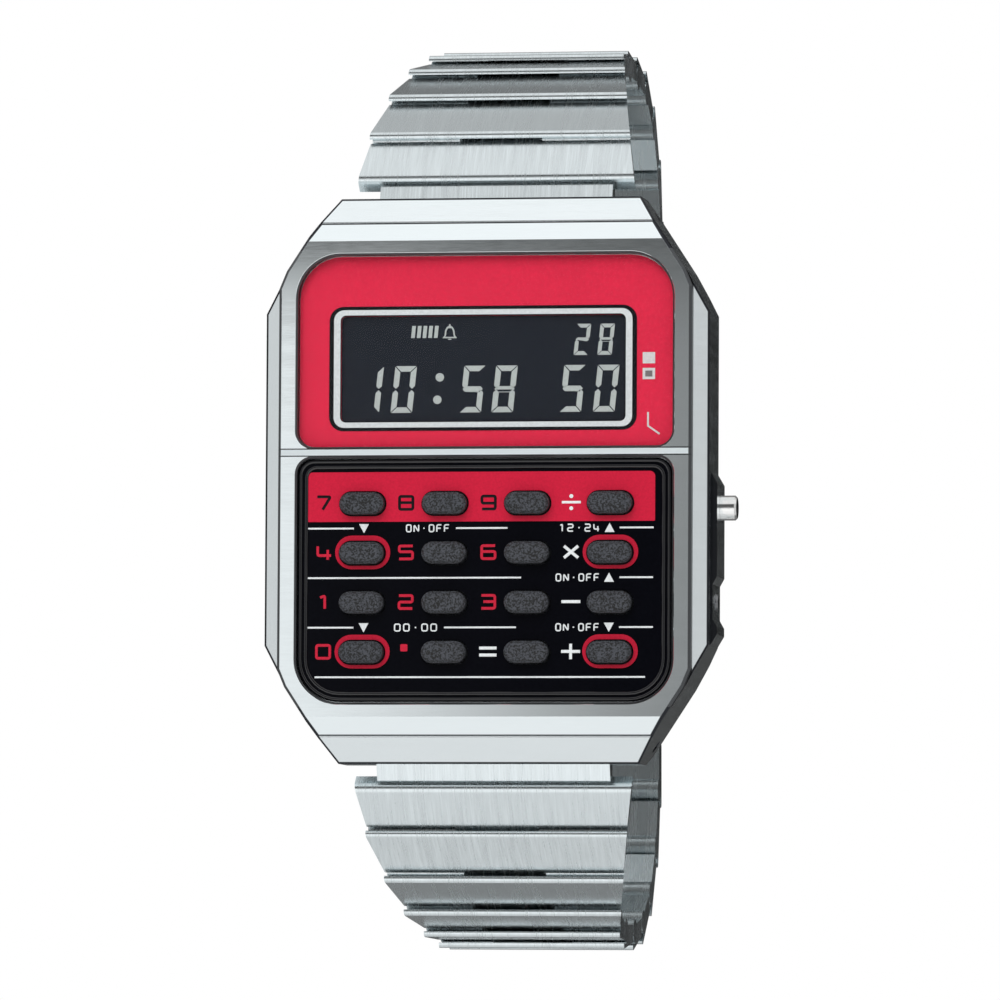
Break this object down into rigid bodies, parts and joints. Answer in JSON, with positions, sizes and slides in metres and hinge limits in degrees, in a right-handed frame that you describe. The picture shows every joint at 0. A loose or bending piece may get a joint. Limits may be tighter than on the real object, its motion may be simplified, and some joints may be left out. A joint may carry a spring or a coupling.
{
  "type": "calculator watch",
  "caption": "Steel wristwatch with a digital display window, a calculator keypad of small rubber keys, side pushers and a tapering shingled link strap with a folding clasp.",
  "frame": {"origin": "centre of the case back's outer face", "axes": "+Y out of the case back towards the wrist, so the dial faces -Y; +Z towards twelve o'clock; +X towards the pushers"},
  "size_m": [0.0358, 0.0467, 0.071],
  "materials": {
    "case_steel": "brushed flats, polished edges",
    "bezel_chrome": "polished",
    "window_glass": "flat mineral glass, polished edge",
    "mask_red": "printed red, metallic",
    "display_cell": "dark negative display with pale digits",
    "connector_rubber": "matt striped rubber",
    "frame_plastic": "moulded, fine texture",
    "board_laminate": "solder resist",
    "battery_steel": "plated can",
    "buzzer_brass": "thin disc",
    "back_steel": "circular brushing",
    "gasket_rubber": "soft ring",
    "screw_steel": "turned heads",
    "panel_black": "gloss black with printed lines",
    "mat_rubber": "moulded sheet",
    "key_rubber": "fine moulded texture",
    "pin_steel": "drawn wire",
    "pusher_chrome": "turned and polished",
    "clasp_steel": "pressed sheet, brushed",
    "strap_steel": "brushed along the strap, polished lips"
  },
  "bodies": {
    "case": {"case_body": "case_steel", "bezel": "bezel_chrome", "display_glass": "window_glass", "display_mask": "mask_red", "lcd_panel": "display_cell", "zebra_connectors": "connector_rubber", "module_frame": "frame_plastic", "circuit_board": "board_laminate", "battery": "battery_steel", "buzzer_disc": "buzzer_brass", "case_back": "back_steel", "case_back_gasket": "gasket_rubber", "case_back_screws": "screw_steel", "keypad_panel": "panel_black", "key_mat": "mat_rubber", "spring_bars": "pin_steel", "pusher_springs": "pin_steel"},
    "key_7": {"key_7": "key_rubber"},
    "key_8": {"key_8": "key_rubber"},
    "key_9": {"key_9": "key_rubber"},
    "key_divide": {"key_divide": "key_rubber"},
    "key_4": {"key_4": "key_rubber"},
    "key_5": {"key_5": "key_rubber"},
    "key_6": {"key_6": "key_rubber"},
    "key_multiply": {"key_multiply": "key_rubber"},
    "key_1": {"key_1": "key_rubber"},
    "key_2": {"key_2": "key_rubber"},
    "key_3": {"key_3": "key_rubber"},
    "key_minus": {"key_minus": "key_rubber"},
    "key_0": {"key_0": "key_rubber"},
    "key_decimal": {"key_decimal": "key_rubber"},
    "key_equals": {"key_equals": "key_rubber"},
    "key_plus": {"key_plus": "key_rubber"},
    "mode_pusher": {"mode_pusher": "pusher_chrome"},
    "adjust_pusher": {"adjust_pusher": "pusher_chrome"},
    "upper_link_1": {"upper_link_1": "strap_steel"},
    "upper_link_2": {"upper_link_2": "strap_steel"},
    "upper_link_3": {"upper_link_3": "strap_steel"},
    "upper_link_4": {"upper_link_4": "strap_steel"},
    "upper_link_5": {"upper_link_5": "strap_steel"},
    "upper_link_6": {"upper_link_6": "strap_steel"},
    "upper_link_7": {"upper_link_7": "strap_steel"},
    "upper_link_8": {"upper_link_8": "strap_steel"},
    "upper_link_9": {"upper_link_9": "strap_steel"},
    "upper_link_10": {"upper_link_10": "strap_steel"},
    "upper_link_11": {"upper_link_11": "strap_steel"},
    "lower_link_1": {"lower_link_1": "strap_steel"},
    "lower_link_2": {"lower_link_2": "strap_steel"},
    "lower_link_3": {"lower_link_3": "strap_steel"},
    "lower_link_4": {"lower_link_4": "strap_steel"},
    "lower_link_5": {"lower_link_5": "strap_steel"},
    "lower_link_6": {"lower_link_6": "strap_steel"},
    "lower_link_7": {"lower_link_7": "strap_steel"},
    "lower_link_8": {"lower_link_8": "strap_steel"},
    "lower_link_9": {"lower_link_9": "strap_steel"},
    "lower_link_10": {"lower_link_10": "strap_steel"},
    "lower_link_11": {"lower_link_11": "strap_steel"},
    "clasp_inner_blade": {"clasp_inner_blade": "clasp_steel"},
    "clasp_outer_blade": {"clasp_outer_blade": "clasp_steel"},
    "clasp_cover": {"clasp_cover": "clasp_steel"}
  },
  "joints": [
    {"name": "key_7_press", "type": "slide", "parent": "case", "child": "key_7", "axis": [0, 1, 0], "range_m": [0, 0.0004], "stiffness_N_per_m": 400},
    {"name": "key_8_press", "type": "slide", "parent": "case", "child": "key_8", "axis": [0, 1, 0], "range_m": [0, 0.0004], "stiffness_N_per_m": 400},
    {"name": "key_9_press", "type": "slide", "parent": "case", "child": "key_9", "axis": [0, 1, 0], "range_m": [0, 0.0004], "stiffness_N_per_m": 400},
    {"name": "key_divide_press", "type": "slide", "parent": "case", "child": "key_divide", "axis": [0, 1, 0], "range_m": [0, 0.0004], "stiffness_N_per_m": 400},
    {"name": "key_4_press", "type": "slide", "parent": "case", "child": "key_4", "axis": [0, 1, 0], "range_m": [0, 0.0004], "stiffness_N_per_m": 400},
    {"name": "key_5_press", "type": "slide", "parent": "case", "child": "key_5", "axis": [0, 1, 0], "range_m": [0, 0.0004], "stiffness_N_per_m": 400},
    {"name": "key_6_press", "type": "slide", "parent": "case", "child": "key_6", "axis": [0, 1, 0], "range_m": [0, 0.0004], "stiffness_N_per_m": 400},
    {"name": "key_multiply_press", "type": "slide", "parent": "case", "child": "key_multiply", "axis": [0, 1, 0], "range_m": [0, 0.0004], "stiffness_N_per_m": 400},
    {"name": "key_1_press", "type": "slide", "parent": "case", "child": "key_1", "axis": [0, 1, 0], "range_m": [0, 0.0004], "stiffness_N_per_m": 400},
    {"name": "key_2_press", "type": "slide", "parent": "case", "child": "key_2", "axis": [0, 1, 0], "range_m": [0, 0.0004], "stiffness_N_per_m": 400},
    {"name": "key_3_press", "type": "slide", "parent": "case", "child": "key_3", "axis": [0, 1, 0], "range_m": [0, 0.0004], "stiffness_N_per_m": 400},
    {"name": "key_minus_press", "type": "slide", "parent": "case", "child": "key_minus", "axis": [0, 1, 0], "range_m": [0, 0.0004], "stiffness_N_per_m": 400},
    {"name": "key_0_press", "type": "slide", "parent": "case", "child": "key_0", "axis": [0, 1, 0], "range_m": [0, 0.0004], "stiffness_N_per_m": 400},
    {"name": "key_decimal_press", "type": "slide", "parent": "case", "child": "key_decimal", "axis": [0, 1, 0], "range_m": [0, 0.0004], "stiffness_N_per_m": 400},
    {"name": "key_equals_press", "type": "slide", "parent": "case", "child": "key_equals", "axis": [0, 1, 0], "range_m": [0, 0.0004], "stiffness_N_per_m": 400},
    {"name": "key_plus_press", "type": "slide", "parent": "case", "child": "key_plus", "axis": [0, 1, 0], "range_m": [0, 0.0004], "stiffness_N_per_m": 400},
    {"name": "mode_pusher_press", "type": "slide", "parent": "case", "child": "mode_pusher", "axis": [-1, 0, 0], "range_m": [0, 0.0006], "stiffness_N_per_m": 1500, "deforming": ["pusher_springs"]},
    {"name": "adjust_pusher_press", "type": "slide", "parent": "case", "child": "adjust_pusher", "axis": [-1, 0, 0], "range_m": [0, 0.0006], "stiffness_N_per_m": 1500, "deforming": ["pusher_springs"]},
    {"name": "upper_lug_hinge", "type": "hinge", "parent": "case", "child": "upper_link_1", "pos_m": [0, -0.0027, 0.0202], "axis": [1, 0, 0], "range_deg": [0, 20]},
    {"name": "upper_hinge_2", "type": "hinge", "parent": "upper_link_1", "child": "upper_link_2", "pos_m": [0, 0.00005, 0.02663], "axis": [1, 0, 0], "range_deg": [0, 14.5]},
    {"name": "upper_hinge_3", "type": "hinge", "parent": "upper_link_2", "child": "upper_link_3", "pos_m": [0, 0.00388, 0.02968], "axis": [1, 0, 0], "range_deg": [0, 11.5]},
    {"name": "upper_hinge_4", "type": "hinge", "parent": "upper_link_3", "child": "upper_link_4", "pos_m": [0, 0.00825, 0.03191], "axis": [1, 0, 0], "range_deg": [0, 10.5]},
    {"name": "upper_hinge_5", "type": "hinge", "parent": "upper_link_4", "child": "upper_link_5", "pos_m": [0, 0.01295, 0.0333], "axis": [1, 0, 0], "range_deg": [0, 9]},
    {"name": "upper_hinge_6", "type": "hinge", "parent": "upper_link_5", "child": "upper_link_6", "pos_m": [0, 0.01781, 0.03394], "axis": [1, 0, 0], "range_deg": [0, 8]},
    {"name": "upper_hinge_7", "type": "hinge", "parent": "upper_link_6", "child": "upper_link_7", "pos_m": [0, 0.02271, 0.0339], "axis": [1, 0, 0], "range_deg": [0, 8]},
    {"name": "upper_hinge_8", "type": "hinge", "parent": "upper_link_7", "child": "upper_link_8", "pos_m": [0, 0.02755, 0.03317], "axis": [1, 0, 0], "range_deg": [0, 20]},
    {"name": "upper_hinge_9", "type": "hinge", "parent": "upper_link_8", "child": "upper_link_9", "pos_m": [0, 0.03186, 0.03083], "axis": [1, 0, 0], "range_deg": [0, 22]},
    {"name": "upper_hinge_10", "type": "hinge", "parent": "upper_link_9", "child": "upper_link_10", "pos_m": [0, 0.03497, 0.02705], "axis": [1, 0, 0], "range_deg": [0, 21.5]},
    {"name": "upper_hinge_11", "type": "hinge", "parent": "upper_link_10", "child": "upper_link_11", "pos_m": [0, 0.03649, 0.02239], "axis": [1, 0, 0], "range_deg": [0, 14]},
    {"name": "clasp_hinge", "type": "hinge", "parent": "upper_link_11", "child": "clasp_inner_blade", "pos_m": [0, 0.03683, 0.01751], "axis": [1, 0, 0], "range_deg": [0, 4]},
    {"name": "lower_lug_hinge", "type": "hinge", "parent": "case", "child": "lower_link_1", "pos_m": [0, -0.0027, -0.0202], "axis": [-1, 0, 0], "range_deg": [0, 20]},
    {"name": "lower_hinge_2", "type": "hinge", "parent": "lower_link_1", "child": "lower_link_2", "pos_m": [0, 0.00005, -0.02663], "axis": [-1, 0, 0], "range_deg": [0, 14.5]},
    {"name": "lower_hinge_3", "type": "hinge", "parent": "lower_link_2", "child": "lower_link_3", "pos_m": [0, 0.00388, -0.02968], "axis": [-1, 0, 0], "range_deg": [0, 11.5]},
    {"name": "lower_hinge_4", "type": "hinge", "parent": "lower_link_3", "child": "lower_link_4", "pos_m": [0, 0.00825, -0.03191], "axis": [-1, 0, 0], "range_deg": [0, 10.5]},
    {"name": "lower_hinge_5", "type": "hinge", "parent": "lower_link_4", "child": "lower_link_5", "pos_m": [0, 0.01295, -0.0333], "axis": [-1, 0, 0], "range_deg": [0, 9]},
    {"name": "lower_hinge_6", "type": "hinge", "parent": "lower_link_5", "child": "lower_link_6", "pos_m": [0, 0.01781, -0.03394], "axis": [-1, 0, 0], "range_deg": [0, 8]},
    {"name": "lower_hinge_7", "type": "hinge", "parent": "lower_link_6", "child": "lower_link_7", "pos_m": [0, 0.02271, -0.0339], "axis": [-1, 0, 0], "range_deg": [0, 8]},
    {"name": "lower_hinge_8", "type": "hinge", "parent": "lower_link_7", "child": "lower_link_8", "pos_m": [0, 0.02755, -0.03317], "axis": [-1, 0, 0], "range_deg": [0, 20]},
    {"name": "lower_hinge_9", "type": "hinge", "parent": "lower_link_8", "child": "lower_link_9", "pos_m": [0, 0.03186, -0.03083], "axis": [-1, 0, 0], "range_deg": [0, 22]},
    {"name": "lower_hinge_10", "type": "hinge", "parent": "lower_link_9", "child": "lower_link_10", "pos_m": [0, 0.03497, -0.02705], "axis": [-1, 0, 0], "range_deg": [0, 21.5]},
    {"name": "lower_hinge_11", "type": "hinge", "parent": "lower_link_10", "child": "lower_link_11", "pos_m": [0, 0.03649, -0.02239], "axis": [-1, 0, 0], "range_deg": [0, 14]},
    {"name": "clasp_fold", "type": "hinge", "parent": "clasp_inner_blade", "child": "clasp_outer_blade", "pos_m": [0, 0.0342, -0.013], "axis": [-1, 0, 0], "range_deg": [0, 110]},
    {"name": "clasp_cover_hinge", "type": "hinge", "parent": "clasp_outer_blade", "child": "clasp_cover", "pos_m": [0, 0.0354, 0.012], "axis": [1, 0, 0], "range_deg": [0, 126.5]}
  ],
  "couplings": [
    {"joint": "upper_hinge_3", "follows": "upper_hinge_2", "ratio": 0.7931},
    {"joint": "upper_hinge_4", "follows": "upper_hinge_2", "ratio": 0.72414},
    {"joint": "upper_hinge_5", "follows": "upper_hinge_2", "ratio": 0.62069},
    {"joint": "upper_hinge_6", "follows": "upper_hinge_2", "ratio": 0.55172},
    {"joint": "upper_hinge_7", "follows": "upper_hinge_2", "ratio": 0.55172},
    {"joint": "upper_hinge_8", "follows": "upper_hinge_2", "ratio": 1.3793},
    {"joint": "upper_hinge_9", "follows": "upper_hinge_2", "ratio": 1.5172},
    {"joint": "upper_hinge_10", "follows": "upper_hinge_2", "ratio": 1.4828},
    {"joint": "upper_hinge_11", "follows": "upper_hinge_2", "ratio": 0.96552},
    {"joint": "clasp_hinge", "follows": "upper_hinge_2", "ratio": 0.27586},
    {"joint": "lower_hinge_3", "follows": "lower_hinge_2", "ratio": 0.7931},
    {"joint": "lower_hinge_4", "follows": "lower_hinge_2", "ratio": 0.72414},
    {"joint": "lower_hinge_5", "follows": "lower_hinge_2", "ratio": 0.62069},
    {"joint": "lower_hinge_6", "follows": "lower_hinge_2", "ratio": 0.55172},
    {"joint": "lower_hinge_7", "follows": "lower_hinge_2", "ratio": 0.55172},
    {"joint": "lower_hinge_8", "follows": "lower_hinge_2", "ratio": 1.3793},
    {"joint": "lower_hinge_9", "follows": "lower_hinge_2", "ratio": 1.5172},
    {"joint": "lower_hinge_10", "follows": "lower_hinge_2", "ratio": 1.4828},
    {"joint": "lower_hinge_11", "follows": "lower_hinge_2", "ratio": 0.96552},
    {"joint": "clasp_cover_hinge", "follows": "clasp_fold", "ratio": 1.15}
  ]
}
